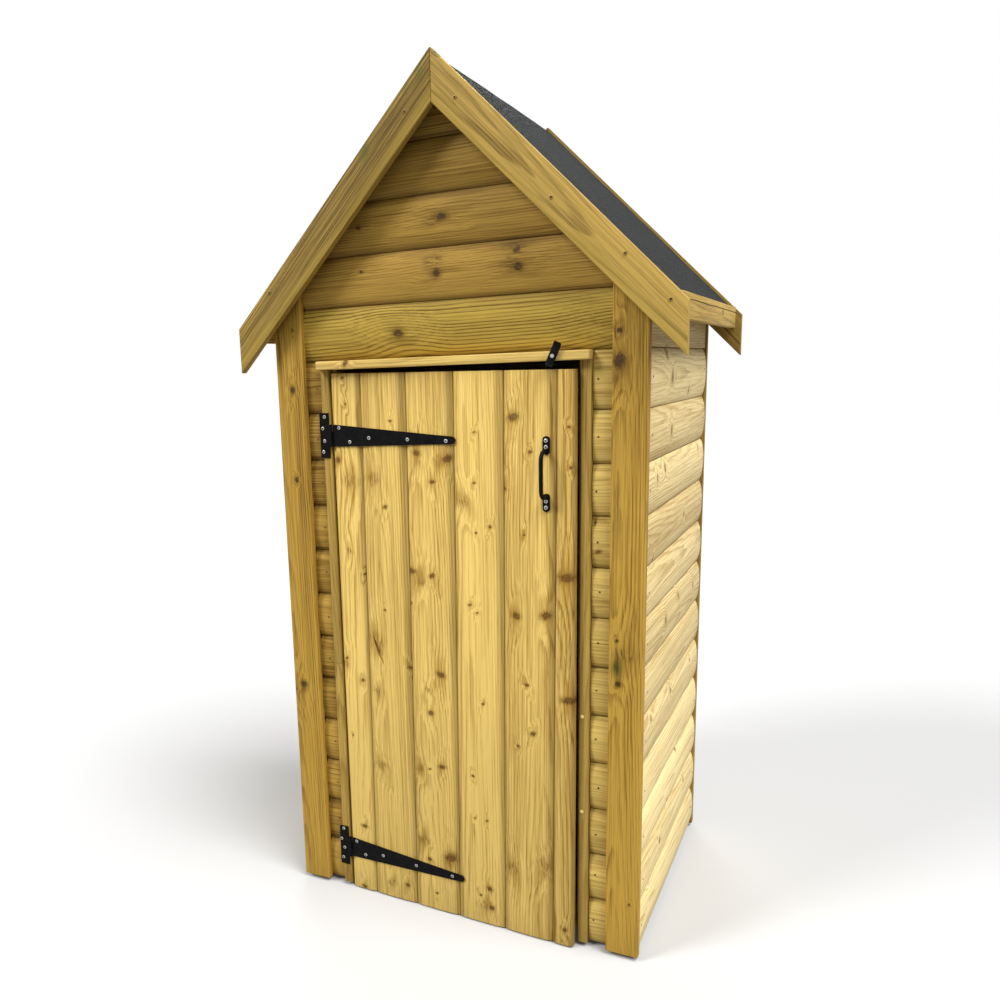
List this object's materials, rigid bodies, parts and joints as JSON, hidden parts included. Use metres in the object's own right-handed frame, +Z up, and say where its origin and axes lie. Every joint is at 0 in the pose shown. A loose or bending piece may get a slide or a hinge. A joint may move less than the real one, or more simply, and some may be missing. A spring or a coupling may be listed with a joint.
{
  "type": "wooden tool shed",
  "caption": "Small free-standing garden tool shed with log-lap walls, a steep felted roof with bargeboards, and a ledged and braced door on T-hinges, held by a turn button.",
  "frame": {"origin": "on the ground under the middle of the shed, on the underside of the middle floor bearer", "axes": "+X to the right of someone facing the door, +Y to the back, +Z up"},
  "size_m": [1.07, 0.8177, 2.0252],
  "materials": {
    "cladding_pine": "pressure-treated pine, sawn and planed",
    "trim_pine": "pressure-treated pine, planed, browner",
    "door_pine": "pressure-treated pine, planed, golden",
    "frame_pine": "sawn pine",
    "roof_felt": "mineral-surfaced bitumen felt",
    "black_steel": "black japanned steel",
    "zinc_screw": "zinc-plated steel"
  },
  "bodies": {
    "shed": {"floor_bearers": "frame_pine", "floor_boards": "frame_pine", "left_bottom_rail": "frame_pine", "right_bottom_rail": "frame_pine", "back_bottom_rail": "frame_pine", "corner_studs": "frame_pine", "door_posts": "frame_pine", "head_rails": "frame_pine", "wall_plates": "frame_pine", "ridge_beam": "frame_pine", "left_wall": "cladding_pine", "right_wall": "cladding_pine", "back_wall": "cladding_pine", "back_gable": "cladding_pine", "front_left_wall": "cladding_pine", "front_right_wall": "cladding_pine", "front_gable": "cladding_pine", "front_left_corner_board": "trim_pine", "front_right_corner_board": "trim_pine", "back_left_corner_board": "trim_pine", "back_right_corner_board": "trim_pine", "left_jamb_upper": "trim_pine", "left_jamb_lower": "trim_pine", "right_jamb": "trim_pine", "door_head_strip": "trim_pine", "left_roof_deck": "frame_pine", "right_roof_deck": "frame_pine", "roof_felt": "roof_felt", "left_eaves_fascia": "trim_pine", "right_eaves_fascia": "trim_pine", "front_left_bargeboard": "trim_pine", "front_right_bargeboard": "trim_pine", "back_left_bargeboard": "trim_pine", "back_right_bargeboard": "trim_pine", "upper_hinge_leaf": "black_steel", "lower_hinge_leaf": "black_steel", "turn_button_screw": "zinc_screw"},
    "door": {"door_boards": "door_pine", "door_ledges": "frame_pine", "door_braces": "frame_pine", "upper_hinge_strap": "black_steel", "lower_hinge_strap": "black_steel", "pull_handle": "black_steel"},
    "turn_button": {"turn_button": "black_steel"}
  },
  "joints": [
    {"name": "door_hinge", "type": "hinge", "parent": "shed", "child": "door", "pos_m": [-0.3095, -0.3618, 0], "axis": [0, 0, -1], "range_deg": [-2, 148]},
    {"name": "turn_button_pivot", "type": "hinge", "parent": "shed", "child": "turn_button", "pos_m": [0.258, -0.377, 1.385], "axis": [0, 1, 0], "range_deg": [-24, 156]}
  ]
}
